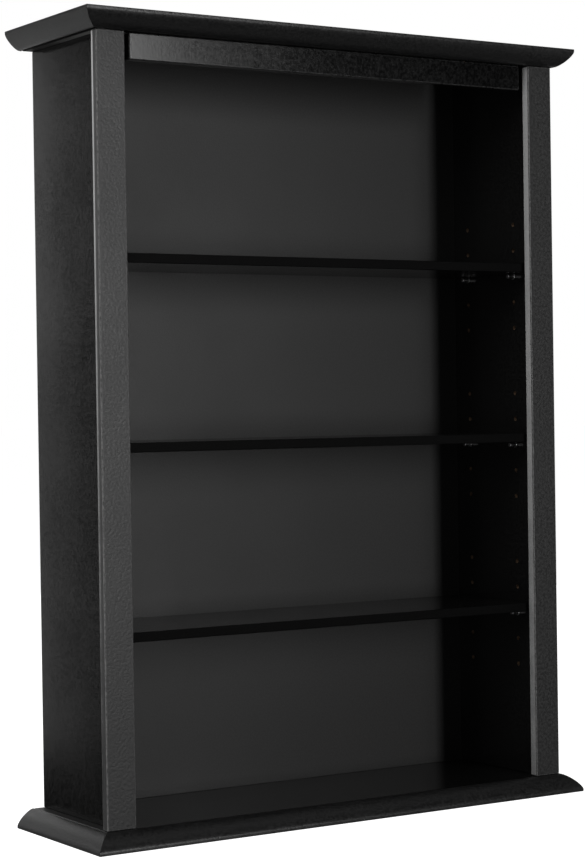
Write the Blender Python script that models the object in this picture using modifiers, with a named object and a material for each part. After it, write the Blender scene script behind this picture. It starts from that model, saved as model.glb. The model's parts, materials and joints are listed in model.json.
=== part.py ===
"""Wall media rack: an open-fronted case with a moulded crown and base, two upright stiles, a header rail
and three loose shelves on pins. Metres, +Z up, front towards -Y, back (wall side) towards +Y.
The origin is at the middle of the footprint, on the underside of the base."""

import math

import bmesh
import bpy
from mathutils import Matrix, Vector

# ---------------------------------------------------------------- driving dimensions (metres)
GAP = 0.0003  # space kept between touching pieces

CASE_WIDTH = 0.630  # across the outer edges of the two stiles
CASE_DEPTH = 0.1825  # wall plane to the front of the stiles
CASE_HEIGHT = 0.872  # top of the base board to the underside of the top board
BOARD_THICK = 0.021  # top board and base board

MOULDING_OUT = 0.021  # how far the crown and base mouldings stand out
MOULDING_FLAT = 0.0032  # narrow upright flat at the moulding's outer edge
MOULDING_FULLNESS = 1.35  # exponent of the moulding's rounded slope: 1 is a plain slope, 2 a quarter round
MOULDING_STEPS = 8

STILE_WIDTH = 0.0355
STILE_THICK = 0.012
STILE_EASE = 0.0012

SIDE_INSET = 0.013  # side panel's outer face, in from the stile's outer edge
SIDE_THICK = 0.015
PANEL_EASE = 0.0006

HEADER_LENGTH = 0.541
HEADER_TALL = 0.030
HEADER_THICK = 0.012
HEADER_SET_BACK = 0.0062  # header's face, behind the front of the stiles
HEADER_DOWEL_X = 0.190

BACK_THICK = 0.003
BACK_GROOVE = 0.004
RAIL_THICK = 0.0152  # hanging rail and lower rail, behind the back panel
RAIL_TALL = 0.078
LOWER_RAIL_TALL = 0.050

SHELF_THICK = 0.011
SHELF_PITCH = 0.209
SHELF_FIRST_TOP = 0.234  # top of the lowest shelf above the underside of the base
SHELF_END_PLAY = 0.002
SHELF_EASE = 0.0006

PIN_HOLE_PITCH = 0.032
PIN_HOLES_EACH_WAY = 2
PIN_HOLE_RADIUS = 0.0026
PIN_HOLE_DEPTH = 0.0105
PIN_SHAFT_RADIUS = 0.0024
PIN_NOSE_RADIUS = 0.003
PIN_NOSE_LENGTH = 0.010
PIN_FRONT_Y = -0.038
PIN_REAR_Y = 0.055

DOWEL_RADIUS = 0.003
DOWEL_HOLE_RADIUS = 0.00315
SCREW_CORE_RADIUS = 0.0025
SCREW_NECK_RADIUS = 0.0035
SCREW_HEAD_RADIUS = 0.005
SCREW_LENGTH = 0.050
SCREW_SINK = 0.0004
ROUND_STEPS = 12

# ---------------------------------------------------------------- derived places
TOTAL_DEPTH = CASE_DEPTH + MOULDING_OUT
TOTAL_HEIGHT = CASE_HEIGHT + 2 * BOARD_THICK
HALF_CASE = CASE_WIDTH / 2
HALF_TOTAL = HALF_CASE + MOULDING_OUT
WALL_Y = TOTAL_DEPTH / 2
FRONT_Y = WALL_Y - CASE_DEPTH  # front face of the stiles
STILE_BACK_Y = FRONT_Y + STILE_THICK
TIP_Y = -TOTAL_DEPTH / 2  # outer edge of the front mouldings
FLOOR_Z = BOARD_THICK
CEILING_Z = TOTAL_HEIGHT - BOARD_THICK
SIDE_OUT_X = HALF_CASE - SIDE_INSET
SIDE_IN_X = SIDE_OUT_X - SIDE_THICK
SIDE_MID_X = (SIDE_OUT_X + SIDE_IN_X) / 2
RAIL_FRONT_Y = WALL_Y - RAIL_THICK
BACK_BACK_Y = RAIL_FRONT_Y - GAP
BACK_FRONT_Y = BACK_BACK_Y - BACK_THICK
HEADER_FRONT_Y = FRONT_Y + HEADER_SET_BACK
HEADER_LOW_Z = CEILING_Z - HEADER_TALL
SCREW_YS = (-0.035, 0.050)
STILE_DOWEL_ZS = (0.120, 0.457, 0.794)
SHELVES = {
    "shelf_lower": SHELF_FIRST_TOP,
    "shelf_middle": SHELF_FIRST_TOP + SHELF_PITCH,
    "shelf_upper": SHELF_FIRST_TOP + 2 * SHELF_PITCH,
}

BLACK_BOARD = ((0.022, 0.022, 0.023, 1.0), 0.42, 0.0)
BLACK_MOULDING = ((0.020, 0.020, 0.021, 1.0), 0.38, 0.0)
HARDBOARD = ((0.026, 0.024, 0.023, 1.0), 0.60, 0.0)
PIN_STEEL = ((0.55, 0.55, 0.56, 1.0), 0.30, 1.0)
SCREW_STEEL = ((0.60, 0.58, 0.50, 1.0), 0.35, 1.0)
BEECH = ((0.55, 0.38, 0.22, 1.0), 0.60, 0.0)


# ---------------------------------------------------------------- scene
for old in list(bpy.data.objects):
    bpy.data.objects.remove(old, do_unlink=True)

parts = bpy.data.collections.new("wall_media_rack")
cutters = bpy.data.collections.new("cutters")
bpy.context.scene.collection.children.link(parts)
bpy.context.scene.collection.children.link(cutters)


# ---------------------------------------------------------------- helpers
def finish(obj, look):
    colour, roughness, metallic = look
    material = bpy.data.materials.new(obj.name + "_finish")
    material.use_nodes = True
    shader = material.node_tree.nodes["Principled BSDF"]
    shader.inputs["Base Color"].default_value = colour
    shader.inputs["Roughness"].default_value = roughness
    shader.inputs["Metallic"].default_value = metallic
    material.diffuse_color = colour
    obj.data.materials.append(material)
    return obj


def place(name, bm, location, collection=parts):
    mesh = bpy.data.meshes.new(name)
    bm.to_mesh(mesh)
    bm.free()
    obj = bpy.data.objects.new(name, mesh)
    obj.location = location
    collection.objects.link(obj)
    if collection is cutters:
        obj.hide_render = True
        obj.display_type = "WIRE"
    return obj


def ease(obj, width, segments=1):
    """A small rounding on the board's arrises."""
    bevel = obj.modifiers.new("ease", "BEVEL")
    bevel.width = width
    bevel.segments = segments
    bevel.limit_method = "ANGLE"
    bevel.angle_limit = math.radians(40)
    return obj


def board(name, low, high, look, arris=PANEL_EASE, segments=1):
    """A rectangular board between two corners."""
    low, high = Vector(low), Vector(high)
    bm = bmesh.new()
    bmesh.ops.create_cube(bm, size=1.0)
    bmesh.ops.scale(bm, vec=high - low, verts=bm.verts)
    obj = finish(place(name, bm, (low + high) / 2), look)
    if arris:
        ease(obj, arris, segments)
    return obj


def axis_turn(axis):
    """Rotation that takes +Z to the given axis letter with its sign."""
    return {
        "+X": Matrix.Rotation(math.radians(90), 4, "Y"),
        "-X": Matrix.Rotation(math.radians(-90), 4, "Y"),
        "+Y": Matrix.Rotation(math.radians(-90), 4, "X"),
        "-Y": Matrix.Rotation(math.radians(90), 4, "X"),
        "+Z": Matrix.Identity(4),
        "-Z": Matrix.Rotation(math.radians(180), 4, "X"),
    }[axis]


def drill(bm, mouth, axis, radius, depth, overshoot=0.002):
    """Adds one drill to a cutter: a cylinder from just outside the mouth, along the axis, to the given depth."""
    length = depth + overshoot
    middle = Matrix.Translation((0, 0, (depth - overshoot) / 2))
    bmesh.ops.create_cone(
        bm,
        cap_ends=True,
        segments=ROUND_STEPS,
        radius1=radius,
        radius2=radius,
        depth=length,
        matrix=Matrix.Translation(mouth) @ axis_turn(axis) @ middle,
    )


def groove(bm, low, high):
    """Adds a rectangular groove to a cutter."""
    low, high = Vector(low), Vector(high)
    made = bmesh.ops.create_cube(bm, size=1.0)
    bmesh.ops.scale(bm, vec=high - low, verts=made["verts"])
    bmesh.ops.translate(bm, vec=(low + high) / 2, verts=made["verts"])


def cut(obj, cutter):
    boolean = obj.modifiers.new("cut_" + cutter.name, "BOOLEAN")
    boolean.operation = "DIFFERENCE"
    boolean.object = cutter


def turned(name, profile, mouth, axis, look=None, collection=parts):
    """A turned piece: a profile of (radius, height) from its top end to its bottom end, spun about its axis."""
    bm = bmesh.new()
    row = [bm.verts.new((radius, 0.0, height)) for radius, height in profile]
    for first, second in zip(row, row[1:]):
        bm.edges.new((first, second))
    obj = place(name, bm, mouth, collection)
    obj.rotation_euler = axis_turn(axis).to_euler()
    spin = obj.modifiers.new("spin", "SCREW")
    spin.axis = "Z"
    spin.angle = math.radians(360)
    spin.steps = spin.render_steps = ROUND_STEPS
    spin.use_merge_vertices = True
    spin.merge_threshold = 0.00001
    spin.use_smooth_shade = True
    if look:
        finish(obj, look)
    return obj


def moulding_section():
    """Outline of the crown's section as (inset from the outer edge, drop from the flat face)."""
    inner = MOULDING_OUT - GAP
    section = [(0.0, 0.0)]
    for step in range(MOULDING_STEPS + 1):
        turn = math.radians(90) * step / MOULDING_STEPS
        power = 2 / MOULDING_FULLNESS
        along = 1 - abs(math.cos(turn)) ** power if step < MOULDING_STEPS else 1.0
        down = abs(math.sin(turn)) ** power
        section.append(
            (inner * along, MOULDING_FLAT + (BOARD_THICK - MOULDING_FLAT) * down)
        )
    section.append((inner, 0.0))
    return section


def moulding(name, side, flat_z, down):
    """One moulding strip: the section drawn out along its run, its ends mitred at 45 degrees where two strips meet.
    flat_z is the level of its flat face, and down is -1 for the crown and +1 for the base."""
    section = moulding_section()
    bm = bmesh.new()
    face = bm.faces.new([bm.verts.new((inset, 0.0, drop)) for inset, drop in section])
    made = bmesh.ops.extrude_face_region(bm, geom=[face])
    far = {item for item in made["geom"] if isinstance(item, bmesh.types.BMVert)}
    mitre = GAP * 0.5
    for vert in bm.verts:
        inset, drop = vert.co.x, vert.co.z
        if side == "front":
            reach = HALF_TOTAL - inset - mitre
            vert.co = (reach if vert in far else -reach, TIP_Y + inset, down * drop)
        else:
            sign = -1 if side == "left" else 1
            front = TIP_Y + inset + mitre
            vert.co = (sign * (HALF_TOTAL - inset), WALL_Y if vert in far else front, down * drop)
    bm.normal_update()
    bmesh.ops.recalc_face_normals(bm, faces=bm.faces)
    return finish(place(name, bm, (0.0, 0.0, flat_z)), BLACK_MOULDING)


def connector_profile(extra, top):
    """Connector screw from its head down. extra widens it into the hole that it sits in, top lifts its upper end."""
    head, neck, core = (
        radius + extra for radius in (SCREW_HEAD_RADIUS, SCREW_NECK_RADIUS, SCREW_CORE_RADIUS)
    )
    step = BOARD_THICK - SCREW_SINK - 0.001
    return [
        (0.0, top),
        (head, top),
        (head, -0.0014 - extra),
        (neck, -0.0044 - extra),
        (neck, -step - extra),
        (core, -step - extra),
        (core, -SCREW_LENGTH - extra),
        (0.0, -SCREW_LENGTH - extra),
    ]


# ---------------------------------------------------------------- top board and base board
top_board = board(
    "top_board", (-HALF_CASE, FRONT_Y, CEILING_Z), (HALF_CASE, WALL_Y, TOTAL_HEIGHT), BLACK_BOARD, None
)
base_board = board(
    "base_board", (-HALF_CASE, FRONT_Y, 0.0), (HALF_CASE, WALL_Y, FLOOR_Z), BLACK_BOARD, None
)

for prefix, flat_z, down in (("crown", TOTAL_HEIGHT, -1), ("base", 0.0, 1)):
    for side in ("front", "left", "right"):
        moulding(f"{prefix}_moulding_{side}", side, flat_z, down)

# ---------------------------------------------------------------- side panels, with grooves and rows of pin holes
pin_zs = {name: top - SHELF_THICK - GAP - PIN_NOSE_RADIUS for name, top in SHELVES.items()}
for side, sign in (("left", -1), ("right", 1)):
    outward = "-X" if sign < 0 else "+X"
    xs = sorted((sign * SIDE_IN_X, sign * SIDE_OUT_X))
    panel = board(
        f"{side}_side_panel",
        (xs[0], STILE_BACK_Y + GAP, FLOOR_Z + GAP),
        (xs[1], WALL_Y, CEILING_Z - GAP),
        BLACK_BOARD,
    )
    bm = bmesh.new()
    groove_xs = sorted((sign * (SIDE_IN_X - 0.002), sign * (SIDE_IN_X + BACK_GROOVE)))
    groove(
        bm,
        (groove_xs[0], BACK_FRONT_Y - GAP, FLOOR_Z - 0.002),
        (groove_xs[1], BACK_BACK_Y + GAP, CEILING_Z + 0.002),
    )
    for centre_z in pin_zs.values():
        for step in range(-PIN_HOLES_EACH_WAY, PIN_HOLES_EACH_WAY + 1):
            for y in (PIN_FRONT_Y, PIN_REAR_Y):
                mouth = (sign * SIDE_IN_X, y, centre_z + step * PIN_HOLE_PITCH)
                drill(bm, mouth, outward, PIN_HOLE_RADIUS, PIN_HOLE_DEPTH)
    for z in STILE_DOWEL_ZS:
        drill(bm, (sign * SIDE_MID_X, STILE_BACK_Y + GAP, z), "+Y", DOWEL_HOLE_RADIUS, 0.0205)
    rail_mid_y = (RAIL_FRONT_Y + WALL_Y) / 2
    for z in (0.848, 0.877, 0.046):
        drill(bm, (sign * SIDE_IN_X, rail_mid_y, z), outward, DOWEL_HOLE_RADIUS, 0.012)
    reach = SCREW_LENGTH - BOARD_THICK + SCREW_SINK + 0.001
    for y in SCREW_YS:
        drill(bm, (sign * SIDE_MID_X, y, CEILING_Z), "-Z", SCREW_CORE_RADIUS + 0.0002, reach)
        drill(bm, (sign * SIDE_MID_X, y, FLOOR_Z), "+Z", SCREW_CORE_RADIUS + 0.0002, reach)
    cut(panel, place(f"{side}_side_drills", bm, (0, 0, 0), cutters))

# ---------------------------------------------------------------- connector screws through the top board and the base board
socket = 0.0022
for level, level_board, head_z, into in (
    ("top", top_board, TOTAL_HEIGHT - SCREW_SINK, "+Z"),
    ("base", base_board, SCREW_SINK, "-Z"),
):
    for side, sign in (("left", -1), ("right", 1)):
        for place_name, y in zip(("front", "rear"), SCREW_YS):
            mouth = (sign * SIDE_MID_X, y, head_z)
            name = f"connector_{level}_{side}_{place_name}"
            screw = turned(name, connector_profile(0.0, 0.0), mouth, into, SCREW_STEEL)
            bm = bmesh.new()
            bmesh.ops.create_cone(
                bm,
                cap_ends=True,
                segments=6,
                radius1=socket,
                radius2=socket,
                depth=0.005,
                matrix=Matrix.Translation(mouth),
            )
            cut(screw, place(name + "_socket", bm, (0, 0, 0), cutters))
            hole = turned(name + "_hole", connector_profile(0.0003, 0.003), mouth, into, None, cutters)
            cut(level_board, hole)

# ---------------------------------------------------------------- stiles on the front edges of the side panels
for side, sign in (("left", -1), ("right", 1)):
    xs = sorted((sign * HALF_CASE, sign * (HALF_CASE - STILE_WIDTH)))
    stile = board(
        f"{side}_stile",
        (xs[0], FRONT_Y, FLOOR_Z + GAP),
        (xs[1], STILE_BACK_Y, CEILING_Z - GAP),
        BLACK_BOARD,
        STILE_EASE,
        2,
    )
    bm = bmesh.new()
    for z in STILE_DOWEL_ZS:
        drill(bm, (sign * SIDE_MID_X, STILE_BACK_Y, z), "-Y", DOWEL_HOLE_RADIUS, 0.0085)
    cut(stile, place(f"{side}_stile_drills", bm, (0, 0, 0), cutters))

# ---------------------------------------------------------------- header rail under the top board, between the stiles
header = board(
    "header_rail",
    (-HEADER_LENGTH / 2, HEADER_FRONT_Y, HEADER_LOW_Z),
    (HEADER_LENGTH / 2, HEADER_FRONT_Y + HEADER_THICK, CEILING_Z - GAP),
    BLACK_BOARD,
    0.0010,
)
header_mid_y = HEADER_FRONT_Y + HEADER_THICK / 2
down, up = bmesh.new(), bmesh.new()
for x in (-HEADER_DOWEL_X, HEADER_DOWEL_X):
    drill(down, (x, header_mid_y, CEILING_Z - GAP), "-Z", DOWEL_HOLE_RADIUS, 0.0145)
    drill(up, (x, header_mid_y, CEILING_Z), "+Z", DOWEL_HOLE_RADIUS, 0.012)
cut(header, place("header_drills", down, (0, 0, 0), cutters))
cut(top_board, place("top_board_drills", up, (0, 0, 0), cutters))

# ---------------------------------------------------------------- back panel, hanging rail and lower rail
board(
    "back_panel",
    (-SIDE_IN_X - BACK_GROOVE + 0.0005, BACK_FRONT_Y, FLOOR_Z + GAP),
    (SIDE_IN_X + BACK_GROOVE - 0.0005, BACK_BACK_Y, CEILING_Z - GAP),
    HARDBOARD,
    None,
)

for name, low_z, high_z, bevelled, dowel_zs in (
    ("hanging_rail", CEILING_Z - RAIL_TALL, CEILING_Z - GAP, True, (0.848, 0.877)),
    ("lower_back_rail", FLOOR_Z + GAP, FLOOR_Z + LOWER_RAIL_TALL, False, (0.046,)),
):
    rail = board(
        name,
        (-SIDE_IN_X + GAP, RAIL_FRONT_Y, low_z),
        (SIDE_IN_X - GAP, WALL_Y, high_z),
        BLACK_BOARD,
        None,
    )
    if bevelled:
        # The lower edge slopes down towards the wall at 45 degrees, to hook over a cleat.
        for vert in rail.data.vertices:
            if vert.co.z < 0 and vert.co.y < 0:
                vert.co.z += RAIL_THICK
    bm = bmesh.new()
    for sign, inward in ((-1, "+X"), (1, "-X")):
        for z in dowel_zs:
            drill(bm, (sign * (SIDE_IN_X - GAP), rail_mid_y, z), inward, DOWEL_HOLE_RADIUS, 0.0145)
    cut(rail, place(name + "_drills", bm, (0, 0, 0), cutters))


# ---------------------------------------------------------------- dowels
def dowel(name, mouth, axis, before, after):
    """A plain wooden dowel: before is its length behind the mouth, after the length ahead of it."""
    chamfer = 0.0006
    profile = [
        (0.0, after),
        (DOWEL_RADIUS - chamfer, after),
        (DOWEL_RADIUS, after - chamfer),
        (DOWEL_RADIUS, -before + chamfer),
        (DOWEL_RADIUS - chamfer, -before),
        (0.0, -before),
    ]
    return turned(name, profile, mouth, axis, BEECH)


for side, sign in (("left", -1), ("right", 1)):
    for number, z in enumerate(STILE_DOWEL_ZS, 1):
        dowel(f"stile_dowel_{side}_{number}", (sign * SIDE_MID_X, STILE_BACK_Y, z), "+Y", 0.008, 0.0202)
    inward = "+X" if sign < 0 else "-X"
    mouth_x = sign * SIDE_IN_X
    dowel(f"header_dowel_{side}", (sign * HEADER_DOWEL_X, header_mid_y, CEILING_Z), "-Z", 0.0116, 0.0142)
    dowel(f"hanging_rail_dowel_{side}_low", (mouth_x, rail_mid_y, 0.848), inward, 0.0116, 0.0142)
    dowel(f"hanging_rail_dowel_{side}_high", (mouth_x, rail_mid_y, 0.877), inward, 0.0116, 0.0142)
    dowel(f"lower_rail_dowel_{side}", (mouth_x, rail_mid_y, 0.046), inward, 0.0116, 0.0142)

# ---------------------------------------------------------------- shelves and their pins
pin_profile = [
    (0.0, PIN_NOSE_LENGTH),
    (PIN_NOSE_RADIUS - 0.0006, PIN_NOSE_LENGTH),
    (PIN_NOSE_RADIUS, PIN_NOSE_LENGTH - 0.0006),
    (PIN_NOSE_RADIUS, 0.0015),
    (0.0040, 0.0015),
    (0.0040, GAP),
    (PIN_SHAFT_RADIUS, GAP),
    (PIN_SHAFT_RADIUS, -0.0095),
    (0.0, -0.0095),
]
for shelf, top in SHELVES.items():
    # Each shelf hangs from an empty at the height where it rests on its pins, and lifts straight up from there.
    rest = bpy.data.objects.new(shelf + "_rest", None)
    rest.location = (0.0, 0.0, top - SHELF_THICK)
    parts.objects.link(rest)
    half = SIDE_IN_X - SHELF_END_PLAY
    slab = board(
        shelf,
        (-half, STILE_BACK_Y + 0.002, top - SHELF_THICK),
        (half, BACK_FRONT_Y - 0.0005, top),
        BLACK_BOARD,
        SHELF_EASE,
    )
    slab.parent = rest
    slab.location = Vector(slab.location) - Vector(rest.location)
    for side, sign in (("left", -1), ("right", 1)):
        inward = "+X" if sign < 0 else "-X"
        for place_name, y in (("front", PIN_FRONT_Y), ("rear", PIN_REAR_Y)):
            turned(
                f"pin_{shelf[6:]}_{side}_{place_name}",
                pin_profile,
                (sign * SIDE_IN_X, y, pin_zs[shelf]),
                inward,
                PIN_STEEL,
            )
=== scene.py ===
"""Looks of the wall media rack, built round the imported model. Metres, +Z up, open front towards -Y."""

import json
import math

import bmesh
import bpy
from mathutils import Matrix, Vector

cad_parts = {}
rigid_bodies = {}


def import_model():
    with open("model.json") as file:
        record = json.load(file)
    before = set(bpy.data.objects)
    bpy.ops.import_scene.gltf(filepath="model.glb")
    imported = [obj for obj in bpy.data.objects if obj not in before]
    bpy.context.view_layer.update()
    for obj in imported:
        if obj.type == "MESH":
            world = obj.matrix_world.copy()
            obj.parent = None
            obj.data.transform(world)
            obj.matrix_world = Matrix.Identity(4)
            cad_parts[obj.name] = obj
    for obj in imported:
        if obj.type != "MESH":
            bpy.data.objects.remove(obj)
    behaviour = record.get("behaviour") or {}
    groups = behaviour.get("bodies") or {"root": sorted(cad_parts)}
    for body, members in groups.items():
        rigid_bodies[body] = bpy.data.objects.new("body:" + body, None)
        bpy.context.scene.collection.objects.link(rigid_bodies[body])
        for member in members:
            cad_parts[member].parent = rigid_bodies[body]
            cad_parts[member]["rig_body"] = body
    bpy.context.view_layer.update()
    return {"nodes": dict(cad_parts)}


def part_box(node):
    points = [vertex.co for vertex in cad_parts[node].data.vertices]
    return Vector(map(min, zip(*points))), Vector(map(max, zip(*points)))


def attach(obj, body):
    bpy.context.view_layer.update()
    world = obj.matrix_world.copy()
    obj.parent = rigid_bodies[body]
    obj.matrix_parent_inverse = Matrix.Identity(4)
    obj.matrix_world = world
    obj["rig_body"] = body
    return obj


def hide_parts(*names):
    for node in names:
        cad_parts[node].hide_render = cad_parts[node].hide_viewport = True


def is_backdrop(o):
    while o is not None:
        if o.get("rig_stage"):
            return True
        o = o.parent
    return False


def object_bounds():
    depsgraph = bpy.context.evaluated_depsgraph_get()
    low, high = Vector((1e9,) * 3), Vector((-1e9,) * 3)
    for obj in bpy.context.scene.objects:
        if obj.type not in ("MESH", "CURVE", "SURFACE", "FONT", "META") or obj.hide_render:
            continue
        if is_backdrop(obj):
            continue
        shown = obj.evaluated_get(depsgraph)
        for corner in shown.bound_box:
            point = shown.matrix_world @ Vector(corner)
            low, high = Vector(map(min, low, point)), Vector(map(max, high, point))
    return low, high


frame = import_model()
nodes = frame["nodes"]
scene = bpy.context.scene

# ---------------------------------------------------------------- dimensions that the model's boxes don't hold
MOULDING_FLAT = 0.0032
MOULDING_FULLNESS = 1.35
MOULDING_STEPS = 28
QUIRK = {"crown": 0.0034, "base": 0.0010}
QUIRK_STOP = 0.006
PIN_HOLE_PITCH = 0.032
PIN_HOLE_RADIUS = 0.0026
PIN_HOLE_DEPTH = 0.0105
SIDE_DOWEL_HOLE = 0.00315
ROUND = 32
JOINT = Vector((0.0, 0.0, 0.00028))


# ---------------------------------------------------------------- materials
def new_material(name):
    material = bpy.data.materials.new(name)
    material.use_nodes = True
    tree = material.node_tree
    return material, tree, tree.nodes["Principled BSDF"]


def link(tree, source, target):
    tree.links.new(source, target)


def noise(tree, coordinates, scale, detail=2.0, rough=0.5):
    node = tree.nodes.new("ShaderNodeTexNoise")
    node.inputs["Scale"].default_value = scale
    node.inputs["Detail"].default_value = detail
    node.inputs["Roughness"].default_value = rough
    link(tree, coordinates, node.inputs["Vector"])
    return node.outputs["Fac"]


def spread(tree, value, low, high, to_low, to_high):
    node = tree.nodes.new("ShaderNodeMapRange")
    for name, number in (
        ("From Min", low),
        ("From Max", high),
        ("To Min", to_low),
        ("To Max", to_high),
    ):
        node.inputs[name].default_value = number
    link(tree, value, node.inputs["Value"])
    return node.outputs["Result"]


def ramp(tree, value, stops):
    node = tree.nodes.new("ShaderNodeValToRGB")
    elements = node.color_ramp.elements
    while len(elements) < len(stops):
        elements.new(0.5)
    for element, (position, colour) in zip(elements, stops):
        element.position = position
        element.color = (*colour, 1.0)
    link(tree, value, node.inputs["Fac"])
    return node.outputs["Color"]


def bump(tree, height, strength, distance, normal=None):
    node = tree.nodes.new("ShaderNodeBump")
    node.inputs["Strength"].default_value = strength
    node.inputs["Distance"].default_value = distance
    link(tree, height, node.inputs["Height"])
    if normal is not None:
        link(tree, normal, node.inputs["Normal"])
    return node.outputs["Normal"]


def total(tree, first, second):
    node = tree.nodes.new("ShaderNodeMath")
    node.operation = "ADD"
    link(tree, first, node.inputs[0])
    link(tree, second, node.inputs[1])
    return node.outputs["Value"]


def black_foil(name, dark, light, gloss, grain, depth, patchy=0.03, specular=0.5):
    """Black decor foil on board: a pebbled skin, uneven in colour and gloss. Grain is pebbles per metre."""
    material, tree, shader = new_material(name)
    place = tree.nodes.new("ShaderNodeTexCoord").outputs["Object"]
    pebbles = noise(tree, place, grain, 1.0, 0.4)
    specks = noise(tree, place, grain * 3.1, 1.0, 0.5)
    cloud = noise(tree, place, 9.0, 3.0, 0.6)
    link(tree, ramp(tree, pebbles, ((0.34, dark), (0.66, light))), shader.inputs["Base Color"])
    broad = spread(tree, cloud, 0.3, 0.7, gloss - 0.02, gloss + 0.02)
    narrow = spread(tree, pebbles, 0.3, 0.7, -patchy, patchy)
    tiny = spread(tree, specks, 0.3, 0.7, -0.02, 0.02)
    link(tree, total(tree, broad, total(tree, narrow, tiny)), shader.inputs["Roughness"])
    shader.inputs["Specular IOR Level"].default_value = specular
    fine = bump(tree, specks, 0.35, depth * 0.3)
    link(tree, bump(tree, pebbles, 1.0, depth, fine), shader.inputs["Normal"])
    return material


def painted_light_band(name, stops, low, high, fade, axis="Z", specular=0.5):
    """A lighter band whose grey grows paler from low to high along the axis as painted light, with rubbed patches on
    top. Stops are (part of the way, grey).
    """
    material, tree, shader = new_material(name)
    place = tree.nodes.new("ShaderNodeTexCoord").outputs["Object"]
    split = tree.nodes.new("ShaderNodeSeparateXYZ")
    link(tree, place, split.inputs["Vector"])
    pores = noise(tree, place, 480.0, 2.0, 0.5)
    rubs = noise(tree, place, 26.0, 3.0, 0.6)
    # Painted light: the grey grows paler towards the high end of the axis, standing in for how the light falls on the
    # band.
    height = spread(tree, split.outputs[axis], low, high, 0.0, fade)
    patches = spread(tree, total(tree, pores, rubs), 0.7, 1.3, 0.0, 1.0 - fade)
    greys = [(part, (grey, grey, grey * 0.995)) for part, grey in stops]
    link(tree, ramp(tree, total(tree, height, patches), greys), shader.inputs["Base Color"])
    link(tree, spread(tree, pores, 0.3, 0.7, 0.40, 0.52), shader.inputs["Roughness"])
    shader.inputs["Specular IOR Level"].default_value = specular
    link(tree, bump(tree, pores, 0.6, 0.00004), shader.inputs["Normal"])
    return material


def hardboard_brown():
    """The bare back of a hardboard sheet: brown, with the print of the press screen."""
    material, tree, shader = new_material("hardboard_bare")
    place = tree.nodes.new("ShaderNodeTexCoord").outputs["Object"]
    fibres = noise(tree, place, 420.0, 5.0, 0.65)
    cloud = noise(tree, place, 14.0, 3.0, 0.6)
    mixed = tree.nodes.new("ShaderNodeMath")
    mixed.operation = "ADD"
    link(tree, spread(tree, fibres, 0.3, 0.7, 0.0, 0.65), mixed.inputs[0])
    link(tree, spread(tree, cloud, 0.3, 0.7, 0.0, 0.35), mixed.inputs[1])
    colour = ramp(
        tree, mixed.outputs["Value"], ((0.1, (0.085, 0.043, 0.019)), (0.9, (0.19, 0.105, 0.052)))
    )
    link(tree, colour, shader.inputs["Base Color"])
    link(tree, spread(tree, fibres, 0.3, 0.7, 0.62, 0.8), shader.inputs["Roughness"])
    screen = tree.nodes.new("ShaderNodeTexVoronoi")
    screen.inputs["Scale"].default_value = 620.0
    screen.inputs["Randomness"].default_value = 0.25
    link(tree, place, screen.inputs["Vector"])
    fine = bump(tree, fibres, 0.5, 0.0001)
    link(tree, bump(tree, screen.outputs["Distance"], 0.6, 0.0002, fine), shader.inputs["Normal"])
    return material


def raw_core():
    """Bare chipboard inside a drilled hole or a sawn groove."""
    material, tree, shader = new_material("chipboard_core")
    place = tree.nodes.new("ShaderNodeTexCoord").outputs["Object"]
    chips = noise(tree, place, 650.0, 4.0, 0.7)
    colour = ramp(tree, chips, ((0.25, (0.05, 0.03, 0.016)), (0.75, (0.17, 0.105, 0.06))))
    link(tree, colour, shader.inputs["Base Color"])
    link(tree, spread(tree, chips, 0.3, 0.7, 0.75, 0.9), shader.inputs["Roughness"])
    link(tree, bump(tree, chips, 0.7, 0.0002), shader.inputs["Normal"])
    return material


def plated_steel(name, dark, light, gloss):
    """Plated steel with faint turning marks and handling blur."""
    material, tree, shader = new_material(name)
    place = tree.nodes.new("ShaderNodeTexCoord").outputs["Object"]
    cloud = noise(tree, place, 260.0, 3.0, 0.6)
    marks = noise(tree, place, 2600.0, 2.0, 0.5)
    link(tree, ramp(tree, cloud, ((0.3, dark), (0.7, light))), shader.inputs["Base Color"])
    shader.inputs["Metallic"].default_value = 1.0
    link(tree, spread(tree, cloud, 0.3, 0.7, gloss - 0.06, gloss + 0.08), shader.inputs["Roughness"])
    link(tree, bump(tree, marks, 0.3, 0.00003), shader.inputs["Normal"])
    return material


def beech():
    material, tree, shader = new_material("dowel_beech")
    coordinates = tree.nodes.new("ShaderNodeTexCoord").outputs["Object"]
    stretch = tree.nodes.new("ShaderNodeMapping")
    stretch.inputs["Scale"].default_value = (1.0, 0.25, 1.0)
    link(tree, coordinates, stretch.inputs["Vector"])
    flecks = noise(tree, stretch.outputs["Vector"], 900.0, 4.0, 0.6)
    colour = ramp(tree, flecks, ((0.3, (0.38, 0.23, 0.12)), (0.7, (0.62, 0.43, 0.26))))
    link(tree, colour, shader.inputs["Base Color"])
    link(tree, spread(tree, flecks, 0.3, 0.7, 0.5, 0.65), shader.inputs["Roughness"])
    link(tree, bump(tree, flecks, 0.4, 0.0001), shader.inputs["Normal"])
    return material


FOIL = black_foil("black_foil", (0.0036, 0.0036, 0.0036), (0.0088, 0.0087, 0.0085), 0.17, 300.0, 0.000014, 0.02)
FOIL_HEADER = black_foil("black_foil_header", (0.003, 0.003, 0.0031), (0.009, 0.009, 0.0091), 0.185, 330.0, 0.00003, 0.024)
FOIL_STILE = black_foil("black_foil_stile", (0.004, 0.004, 0.004), (0.021, 0.021, 0.021), 0.46, 310.0, 0.00023, 0.05)
FOIL_MOULDING = black_foil("black_foil_moulding", (0.005, 0.005, 0.0051), (0.012, 0.012, 0.0121), 0.37, 340.0, 0.00017, 0.05)
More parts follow.
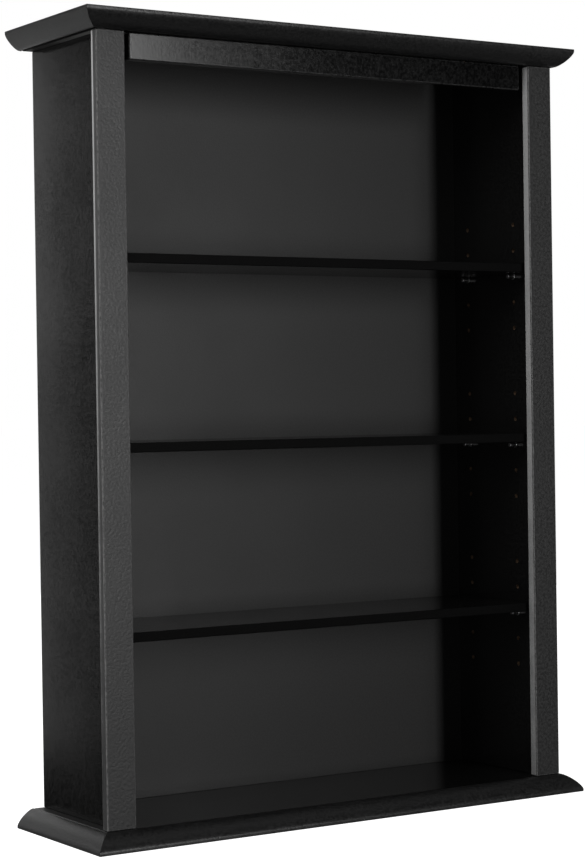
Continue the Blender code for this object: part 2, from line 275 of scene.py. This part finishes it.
# Base board's upward ledge beside the panels: a painted highlight, lighter where it faces up into the light.
LEDGE = black_foil("ledge_painted_highlight", (0.008, 0.008, 0.008), (0.018, 0.018, 0.0178), 0.40, 360.0, 0.00010)
FOIL_BACK = black_foil("black_foil_back", (0.004, 0.0039, 0.0038), (0.011, 0.0108, 0.0105), 0.50, 420.0, 0.00008)
SHELF_EDGE = black_foil("shelf_edge", (0.0016, 0.0016, 0.0016), (0.0032, 0.0032, 0.0032), 0.55, 420.0, 0.00006, 0.03, 0.04)
# Top board's ends and its underside inside the crown's quirk: painted shade, nearly black and barely reflective, for
# the dark crease.
CREASE_SHADE = black_foil("crease_painted_shade", (0.0012, 0.0012, 0.0012), (0.0026, 0.0026, 0.0026), 0.60, 420.0, 0.00006, 0.03, 0.04)
# Paler arrises: partly edge wear, partly a painted highlight line along the rounded edges.
ARRIS = black_foil("arris_wear_and_highlight", (0.040, 0.040, 0.040), (0.105, 0.105, 0.104), 0.36, 260.0, 0.00005)
ARRIS_HEADER = black_foil("header_arris_wear_and_highlight", (0.008, 0.008, 0.008), (0.030, 0.030, 0.030), 0.30, 260.0, 0.00005)
# Inner stile edges: a lighter edge band whose pale grey also carries a painted highlight, and grows paler towards the
# top as painted light.
EDGE_BAND_AND_HIGHLIGHT = painted_light_band("edge_band", ((0.15, 0.26), (0.6, 0.46), (1.0, 0.56)), 0.0, 0.9, 0.6)
# Outer stile edge behind the seam: a painted highlight, bright near the top and fading to dark at the bottom as
# painted light falloff.
OUTER_EDGE_BAND_AND_HIGHLIGHT = painted_light_band("outer_edge_band_and_highlight", ((0.12, 0.013), (0.27, 0.041), (0.66, 0.33), (0.95, 0.46)), 0.0, 0.9, 0.8)
# Outer stile edge ahead of the seam: painted light, paler towards the top.
FRONT_EDGE_PAINTED_LIGHT = painted_light_band("front_edge_painted_light", ((0.0, 0.006), (1.0, 0.052)), 0.0, 0.9, 0.6)
# Top board's underside beside the panels: a pale strip of painted light, paler towards the front.
UNDERSIDE_PAINTED_LIGHT = painted_light_band("underside_painted_light", ((0.2, 0.008), (0.38, 0.045), (0.53, 0.15), (0.8, 0.235)), 0.1, -0.09, 0.7, "Y", 0.1)
BARE_BACK = hardboard_brown()
CORE = raw_core()
PIN_STEEL = plated_steel("pin_nickel", (0.52, 0.52, 0.53), (0.66, 0.66, 0.66), 0.26)
SCREW_STEEL = plated_steel("screw_zinc", (0.48, 0.46, 0.40), (0.64, 0.62, 0.54), 0.34)
BEECH = beech()


# ---------------------------------------------------------------- pieces
def add(name, mesh):
    obj = bpy.data.objects.new(name, mesh)
    scene.collection.objects.link(obj)
    return obj


def stands_for(obj, node):
    """The piece rides where its CAD node does, and is shown in its place."""
    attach(obj, nodes[node]["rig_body"])
    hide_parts(node)
    return obj


def smooth(mesh, degrees=32.0):
    mesh.shade_smooth()
    mesh.set_sharp_from_angle(angle=math.radians(degrees))


def even_shading(obj):
    """Flat faces stay flat up to their arrises, which alone are shaded round."""
    even = obj.modifiers.new("even", "WEIGHTED_NORMAL")
    even.weight = 100
    even.keep_sharp = True
    return obj


def settled(obj):
    """The object's mesh with its modifiers applied, as its own mesh."""
    graph = bpy.context.evaluated_depsgraph_get()
    mesh = bpy.data.meshes.new_from_object(obj.evaluated_get(graph), depsgraph=graph)
    obj.modifiers.clear()
    old = obj.data
    obj.data = mesh
    bpy.data.meshes.remove(old)
    return obj


def soft_board(name, low, high, radius, steps=4, taper=None, arris_slot=0):
    """A board with rounded arrises, which take the material slot given by the last argument; on the stiles and the
    header that slot is a paler arris carrying a painted highlight.
    """
    low, high = Vector(low), Vector(high)
    bm = bmesh.new()
    bmesh.ops.create_cube(bm, size=1.0)
    bmesh.ops.scale(bm, vec=high - low, verts=bm.verts)
    bmesh.ops.translate(bm, vec=(low + high) / 2, verts=bm.verts)
    if taper:
        taper(bm)
    made = bmesh.ops.bevel(
        bm,
        geom=list(bm.edges),
        offset=radius,
        offset_type="OFFSET",
        segments=steps,
        profile=0.5,
        affect="EDGES",
        clamp_overlap=True,
    )
    for face in made["faces"]:
        face.material_index = arris_slot
    mesh = bpy.data.meshes.new(name)
    bm.to_mesh(mesh)
    bm.free()
    mesh.shade_smooth()
    return even_shading(add(name, mesh))


def cylinder_cutter(bm, mouth, direction, radius, depth, steps=ROUND):
    turn = Vector((0, 0, 1)).rotation_difference(Vector(direction)).to_matrix().to_4x4()
    over = 0.002
    bmesh.ops.create_cone(
        bm,
        cap_ends=True,
        segments=steps,
        radius1=radius,
        radius2=radius,
        depth=depth + over,
        matrix=Matrix.Translation(mouth) @ turn @ Matrix.Translation((0, 0, (depth - over) / 2)),
    )


def box_cutter(bm, low, high):
    low, high = Vector(low), Vector(high)
    made = bmesh.ops.create_cube(bm, size=1.0)
    bmesh.ops.scale(bm, vec=high - low, verts=made["verts"])
    bmesh.ops.translate(bm, vec=(low + high) / 2, verts=made["verts"])


def carve(obj, bm, core):
    """Takes the cutter out of the piece. The faces that the cutter leaves show the board's core."""
    mesh = bpy.data.meshes.new(obj.name + "_cut")
    bm.to_mesh(mesh)
    bm.free()
    cutter = add(obj.name + "_cutter", mesh)
    cutter.data.materials.append(core)
    boolean = obj.modifiers.new("carve", "BOOLEAN")
    boolean.operation = "DIFFERENCE"
    boolean.solver = "EXACT"
    boolean.material_mode = "TRANSFER"
    boolean.object = cutter
    settled(obj)
    bpy.data.objects.remove(cutter, do_unlink=True)
    bpy.data.meshes.remove(mesh)
    return obj


# The side panels, with rows of pin holes, the groove for the back and the dowel holes.
back_low, back_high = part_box("back_panel")
pin_rows = sorted(
    {
        round((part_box(node)[0].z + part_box(node)[1].z) / 2, 6)
        for node in nodes
        if node.startswith("pin_")
    }
)
pin_columns = sorted(
    {
        round((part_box(node)[0].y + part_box(node)[1].y) / 2, 6)
        for node in nodes
        if node.startswith("pin_")
    }
)
for side, sign in (("left", -1), ("right", 1)):
    node = f"{side}_side_panel"
    low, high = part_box(node)
    inner = high.x if sign < 0 else low.x
    panel = soft_board(f"{side}_panel_shell", low - JOINT, high + JOINT, 0.0008, 3)
    panel.data.materials.append(FOIL)
    bm = bmesh.new()
    groove_low = (min(inner - sign * 0.002, inner + sign * 0.004), back_low.y - 0.0003, low.z - 0.002)
    groove_high = (max(inner - sign * 0.002, inner + sign * 0.004), back_high.y + 0.0003, high.z + 0.002)
    box_cutter(bm, groove_low, groove_high)
    for row in pin_rows:
        for step in (-2, -1, 0, 1, 2):
            for column in pin_columns:
                cylinder_cutter(
                    bm,
                    (inner, column, row + step * PIN_HOLE_PITCH),
                    (sign, 0, 0),
                    PIN_HOLE_RADIUS,
                    PIN_HOLE_DEPTH,
                )
    carve(panel, bm, CORE)
    smooth(panel.data)
    even_shading(panel)
    stands_for(panel, node)

# Stiles: foil wrapped round the face and the front arrises, and a lighter band on the cut edges whose grey also
# carries a painted highlight, paler towards the top as painted light. The outer edge shows the seam where the foil
# ends; the foil ahead of the seam is painted lighter towards the top too, and the arrises are paler with wear and a
# painted highlight.
SEAM_FROM_BACK = 0.0042
for side, sign in (("left", -1), ("right", 1)):
    node = f"{side}_stile"
    low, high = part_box(node)
    outer = low.x if sign < 0 else high.x
    stile = soft_board(node + "_board", low, high, 0.0014, 4, arris_slot=1)
    seam = high.y - SEAM_FROM_BACK
    bm = bmesh.new()
    bm.from_mesh(stile.data)
    for y in (seam - 0.0004, seam, seam + 0.0004):
        bmesh.ops.bisect_plane(
            bm, geom=bm.verts[:] + bm.edges[:] + bm.faces[:], plane_co=(0, y, 0), plane_no=(0, 1, 0)
        )
    for vert in bm.verts:
        if abs(vert.co.y - seam) < 1e-6 and abs(vert.co.x - outer) < 1e-6:
            vert.co.x -= sign * 0.0003
    bm.normal_update()
    for face in bm.faces:
        middle = face.calc_center_median()
        if face.material_index == 0 and abs(face.normal.x) > 0.7:
            if abs(middle.x - outer) > 0.001:
                face.material_index = 2
            else:
                face.material_index = 3 if middle.y > seam else 4
        face.smooth = True
    bm.to_mesh(stile.data)
    bm.free()
    for look in (FOIL_STILE, ARRIS, EDGE_BAND_AND_HIGHLIGHT, OUTER_EDGE_BAND_AND_HIGHLIGHT, FRONT_EDGE_PAINTED_LIGHT):
        stile.data.materials.append(look)
    stands_for(stile, node)

# Header, shelves and boards, with their own roundings.
for node, radius in (
    ("header_rail", 0.0014),
    ("shelf_upper", 0.0010),
    ("shelf_middle", 0.0010),
    ("shelf_lower", 0.0010),
    ("top_board", 0.0013),
    ("base_board", 0.0013),
    ("lower_back_rail", 0.0008),
):
    low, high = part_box(node)
    header, shelf = node == "header_rail", node.startswith("shelf_")
    piece = soft_board(node + "_board", low, high, radius, arris_slot=1 if header else 0)
    piece.data.materials.append(FOIL_HEADER if header else FOIL)
    # The header's arrises take a paler colour: edge wear and a painted highlight line.
    if header:
        piece.data.materials.append(ARRIS_HEADER)
    if shelf:
        piece.data.materials.append(SHELF_EDGE)
        for face in piece.data.polygons:
            face.material_index = 1 if face.normal.y < -0.3 else 0
    # Top board: a pale underside strip of painted light beside the panels, and painted shade on its ends and in the
    # quirk. Base board: a painted highlight on the upward ledge.
    if node in ("top_board", "base_board"):
        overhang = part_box("right_side_panel")[1].x
        bm = bmesh.new()
        bm.from_mesh(piece.data)
        for x in (-overhang - 0.0095, -overhang, overhang, overhang + 0.0095):
            bmesh.ops.bisect_plane(
                bm, geom=bm.verts[:] + bm.edges[:] + bm.faces[:], plane_co=(x, 0, 0), plane_no=(1, 0, 0)
            )
        for face in bm.faces:
            inward = -face.normal.z if node == "top_board" else face.normal.z
            out = abs(face.calc_center_median().x) - overhang
            if node == "top_board" and (abs(face.normal.x) > 0.3 or (inward > 0.9 and out > 0.0095)):
                face.material_index = 2
            elif inward > 0.9 and out > 0:
                face.material_index = 1
        bm.to_mesh(piece.data)
        bm.free()
        for look in (UNDERSIDE_PAINTED_LIGHT, CREASE_SHADE) if node == "top_board" else (LEDGE,):
            piece.data.materials.append(look)
    if node in ("top_board", "base_board"):
        bm = bmesh.new()
        for connector in nodes:
            if connector.startswith("connector_" + node[:3]):
                c_low, c_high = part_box(connector)
                centre = (c_low + c_high) / 2
                top = node == "top_board"
                mouth = Vector((centre.x, centre.y, high.z if top else low.z))
                direction = Vector((0, 0, -1 if top else 1))
                cylinder_cutter(bm, mouth, direction, 0.0053, 0.0024)
                cylinder_cutter(bm, mouth, direction, 0.0038, 0.030)
        carve(piece, bm, CORE)
        smooth(piece.data)
        even_shading(piece)
    stands_for(piece, node)

rail_low, rail_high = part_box("hanging_rail")


def hook_bevel(bm):
    for vert in bm.verts:
        if vert.co.z < (rail_low.z + rail_high.z) / 2 and vert.co.y < (rail_low.y + rail_high.y) / 2:
            vert.co.z += rail_high.y - rail_low.y


rail = soft_board("hanging_rail_board", rail_low, rail_high, 0.0006, 3, hook_bevel)
rail.data.materials.append(FOIL)
stands_for(rail, "hanging_rail")

# The back panel: black in front, bare hardboard behind.
back = soft_board("back_panel_sheet", back_low - JOINT, back_high + JOINT, 0.0003, 2)
back.data.materials.append(FOIL_BACK)
back.data.materials.append(BARE_BACK)
for face in back.data.polygons:
    face.material_index = 1 if face.normal.y > 0.5 else 0
stands_for(back, "back_panel")


def moulding_section(out, thick, quirk):
    """Outline as (inset from the outer edge, drop from the flat face), with soft arrises and a quirk at the board."""
    arris = 0.0007
    points = [(out, 0.0)]
    for step in range(7):
        turn = math.radians(90) * step / 6
        points.append((arris - arris * math.sin(turn), arris - arris * math.cos(turn)))
    power = 2 / MOULDING_FULLNESS
    for step in range(MOULDING_STEPS + 1):
        turn = math.radians(90) * step / MOULDING_STEPS
        along = 1 - max(math.cos(turn), 0.0) ** power if step < MOULDING_STEPS else 1.0
        down = math.sin(turn) ** power
        points.append(((out - quirk) * along, MOULDING_FLAT + (thick - MOULDING_FLAT) * down))
    soft = quirk * 0.35
    for step in range(1, 6):
        turn = math.radians(90) * step / 5
        points.append((out - quirk + soft * math.sin(turn), thick - soft + soft * math.cos(turn)))
    points.append((out - quirk + soft, thick - quirk))
    points.append((out, thick - quirk))
    return points


for node in sorted(nodes):
    if "_moulding_" not in node:
        continue
    side = node.rsplit("_", 1)[1]
    low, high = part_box(node)
    crown = node.startswith("crown")
    thick = high.z - low.z
    out = (high.y - low.y) if side == "front" else (high.x - low.x)
    bm = bmesh.new()
    section = moulding_section(out, thick, QUIRK["crown" if crown else "base"])
    face = bm.faces.new([bm.verts.new((inset, 0.0, drop)) for inset, drop in section])
    made = bmesh.ops.extrude_face_region(bm, geom=[face])
    far = {item for item in made["geom"] if isinstance(item, bmesh.types.BMVert)}
    for vert in bm.verts:
        inset, drop = vert.co.x, vert.co.z
        z = high.z - drop if crown else low.z + drop
        if side == "front":
            x = high.x - inset if vert in far else low.x + inset
            vert.co = (x, low.y + inset, z)
        else:
            x = low.x + inset if side == "left" else high.x - inset
            vert.co = (x, high.y if vert in far else low.y + inset, z)
    if side != "front":
        # The quirk runs out just before the strip's rear end.
        bmesh.ops.bisect_plane(
            bm,
            geom=bm.verts[:] + bm.edges[:] + bm.faces[:],
            plane_co=(0, high.y - QUIRK_STOP, 0),
            plane_no=(0, 1, 0),
        )
        quirk = QUIRK["crown" if crown else "base"]
        face_z = low.z if crown else high.z
        for vert in bm.verts:
            inner = abs(vert.co.x - (high.x if side == "left" else low.x)) < quirk * 0.7
            if vert.co.y > high.y - 1e-5 and inner and abs(vert.co.z - face_z) < quirk * 1.01:
                vert.co.z = face_z
    bm.normal_update()
    bmesh.ops.recalc_face_normals(bm, faces=bm.faces)
    mesh = bpy.data.meshes.new(node + "_strip")
    bm.to_mesh(mesh)
    bm.free()
    smooth(mesh, 24.0)
    piece = add(node + "_strip", mesh)
    mesh.materials.append(FOIL_MOULDING)
    stands_for(piece, node)


def turned(name, profile, origin, direction):
    """A turned piece from a profile of (radius, height), spun about the direction through origin."""
    bm = bmesh.new()
    row = [bm.verts.new((radius, 0.0, height)) for radius, height in profile]
    edges = [bm.edges.new(pair) for pair in zip(row, row[1:])]
    bmesh.ops.spin(
        bm,
        geom=row + edges,
        cent=(0, 0, 0),
        axis=(0, 0, 1),
        dvec=(0, 0, 0),
        angle=math.radians(360),
        steps=ROUND,
        use_merge=True,
    )
    bmesh.ops.remove_doubles(bm, verts=bm.verts, dist=1e-6)
    bm.normal_update()
    bmesh.ops.recalc_face_normals(bm, faces=bm.faces)
    turn = Vector((0, 0, 1)).rotation_difference(Vector(direction)).to_matrix().to_4x4()
    bmesh.ops.transform(bm, matrix=Matrix.Translation(origin) @ turn, verts=bm.verts)
    mesh = bpy.data.meshes.new(name)
    bm.to_mesh(mesh)
    bm.free()
    smooth(mesh)
    return add(name, mesh)


def fillet(corner_radius, at_radius, at_height, up):
    """Points of a small rounding between an end face and a side, from the end face to the side."""
    return [
        (
            at_radius - corner_radius + corner_radius * math.sin(math.radians(90) * step / 4),
            at_height - up * (corner_radius - corner_radius * math.cos(math.radians(90) * step / 4)),
        )
        for step in range(5)
    ]


# Shelf pins: a nose with a collar against the panel, and a shaft in its hole.
for node in sorted(nodes):
    if not node.startswith("pin_"):
        continue
    low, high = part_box(node)
    left = "_left_" in node
    centre = (low + high) / 2
    face = low.x + 0.0095 if left else high.x - 0.0095
    profile = [(0.0, 0.0100)]
    profile += fillet(0.0009, 0.0030, 0.0100, 1)
    profile += [(0.0030, 0.0020), (0.00315, 0.00165), (0.0035, 0.0015)]
    profile += fillet(0.0003, 0.0040, 0.0015, 1)
    profile += [(0.0040, 0.0003), (0.0024, 0.0003), (0.0024, -0.0090), (0.0019, -0.0095), (0.0, -0.0095)]
    piece = turned(node + "_turned", profile, (face, centre.y, centre.z), (1 if left else -1, 0, 0))
    piece.data.materials.append(PIN_STEEL)
    stands_for(piece, node)

# Connector screws: a countersunk head with a hexagon socket.
for node in sorted(nodes):
    if not node.startswith("connector_"):
        continue
    low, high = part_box(node)
    top = "_top_" in node
    centre = (low + high) / 2
    head = Vector((centre.x, centre.y, high.z if top else low.z))
    profile = [(0.0, 0.0)]
    profile += fillet(0.0005, 0.0050, 0.0, 1)
    profile += [(0.0050, -0.0014), (0.0035, -0.0044), (0.0035, -0.0196), (0.0025, -0.0196)]
    profile += [(0.0025, -0.0490), (0.0015, -0.0500), (0.0, -0.0500)]
    piece = turned(node + "_turned", profile, head, (0, 0, 1 if top else -1))
    bm = bmesh.new()
    cylinder_cutter(bm, head, (0, 0, -1 if top else 1), 0.0022, 0.0028, 6)
    piece.data.materials.append(SCREW_STEEL)
    carve(piece, bm, SCREW_STEEL)
    smooth(piece.data)
    stands_for(piece, node)

for node, obj in nodes.items():
    if "_dowel" in node:
        obj.data.materials.clear()
        obj.data.materials.append(BEECH)

# ---------------------------------------------------------------- camera
camera_data = bpy.data.cameras.new("camera")
camera_data.sensor_width = 36.0
camera_data.lens = 93.66
camera = bpy.data.objects.new("camera", camera_data)
scene.collection.objects.link(camera)
camera.matrix_world = (
    Matrix.Translation((-1.4459, -2.23425, 0.4844))
    @ Matrix.Rotation(math.radians(1.0729), 4, "Y")
    @ Matrix.Rotation(math.radians(-0.1379), 4, "X")
    @ Matrix.Rotation(math.radians(-32.588), 4, "Z")
    @ Matrix.Rotation(math.radians(90.0), 4, "X")
)
scene.camera = camera

# ---------------------------------------------------------------- floor, backdrop and light
scene.view_settings.view_transform = "Standard"

world = bpy.data.worlds.new("pale")
scene.world = world
world.use_nodes = True
world.node_tree.nodes["Background"].inputs["Color"].default_value = (1.0, 1.0, 1.0, 1.0)
world.node_tree.nodes["Background"].inputs["Strength"].default_value = 1.0
world.cycles_visibility.diffuse = False
world.cycles_visibility.glossy = False

bm = bmesh.new()
bmesh.ops.create_circle(bm, cap_ends=True, segments=96, radius=40.0)
floor_mesh = bpy.data.meshes.new("floor")
bm.to_mesh(floor_mesh)
bm.free()
floor = add("floor", floor_mesh)
floor.location = (0.0, 0.0, -0.0005)
floor.visible_diffuse = False
floor.visible_glossy = False
floor.visible_shadow = False
floor_look, tree, shader = new_material("pale_floor")
shader.inputs["Base Color"].default_value = (0.85, 0.85, 0.85, 1.0)
shader.inputs["Roughness"].default_value = 0.9
shader.inputs["Specular IOR Level"].default_value = 0.0
shader.inputs["Emission Color"].default_value = (1.0, 1.0, 1.0, 1.0)
shader.inputs["Emission Strength"].default_value = 1.0
floor_mesh.materials.append(floor_look)
floor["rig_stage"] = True

AIM = Vector((0.0, 0.0, 0.457))


def softbox(name, azimuth, elevation, distance, width, height, power):
    """A soft light that faces the rack. Azimuth 0 is straight in front of it, 90 to its right."""
    a, e = math.radians(azimuth), math.radians(elevation)
    away = Vector((math.sin(a) * math.cos(e), -math.cos(a) * math.cos(e), math.sin(e)))
    data = bpy.data.lights.new(name, "AREA")
    data.shape = "RECTANGLE"
    data.size, data.size_y = width, height
    data.energy = power
    light = bpy.data.objects.new(name, data)
    scene.collection.objects.link(light)
    light.location = AIM + away * distance
    light.rotation_mode = "QUATERNION"
    light.rotation_quaternion = away.to_track_quat("Z", "Y")
    return light


for name, azimuth, elevation, distance, width, height, power in (
    ("front_high_a", 14, 13, 3.2, 0.30, 0.8, 9.2),
    ("front_high_b", 18, 13, 3.2, 0.30, 0.8, 4.3),
    ("front_high_c", 22, 13, 3.2, 0.30, 0.8, 2.6),
    ("front_low", 14, -3, 3.2, 0.30, 1.0, 19.4),
    ("front_left", -28, -4, 3.2, 1.5, 3.0, 6.0),
    ("key_left", -60, 40, 1.6, 0.8, 0.8, 8.3),
    ("left_front", -60, -4, 3.2, 1.5, 3.0, 6.0),
    ("left", -96, -4, 3.2, 2.0, 1.4, 33.0),
    ("left_below", -90, -24, 3.2, 1.5, 1.2, 2.5),
    ("left_back", -120, -4, 3.2, 1.5, 3.0, 7.5),
    ("left_low", -60, -32, 3.2, 1.4, 1.2, 3.2),
    ("right_front", 68, -4, 3.2, 1.5, 3.0, 6.0),
    ("right", 96, -4, 3.2, 1.5, 3.0, 6.0),
    ("right_back", 124, -4, 3.2, 1.5, 3.0, 7.5),
    ("right_low", 45, -32, 3.2, 1.4, 1.2, 0.4),
    ("right_below", 60, -60, 3.2, 1.6, 1.6, 1.4),
    ("top_front", 0, 65, 3.2, 1.6, 1.6, 2.4),
    ("top_left", -90, 65, 3.2, 1.6, 1.6, 2.4),
    ("top_right", 60, 60, 3.2, 1.6, 1.6, 2.4),
    ("top_back", 180, 65, 3.2, 1.6, 1.6, 2.4),
    ("high_back_right", 150, 45, 3.2, 1.8, 1.8, 3.0),
    ("high_back_left", -150, 45, 3.2, 1.8, 1.8, 0.9),
    ("back_a_high", -154.5, 10.0, 3.2, 0.40, 0.74, 1.4),
    ("back_a_low", -154.5, -5.6, 3.2, 0.40, 1.05, 1.3),
    ("back_b_high", -171, 12, 3.2, 0.40, 0.9, 1.6),
    ("back_b_low", -171, -5.6, 3.2, 0.40, 1.05, 1.75),
    ("back", 178, 6, 3.2, 1.5, 2.0, 8.8),
    ("back_right", 150, -4, 3.2, 1.5, 3.0, 6.0),
    ("back_left_below", -165, -32, 3.2, 1.4, 1.2, 2.5),
    ("back_below", 170, -32, 3.2, 1.4, 1.2, 6.2),
):
    softbox(name, azimuth, elevation, distance, width, height, power)

low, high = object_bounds()
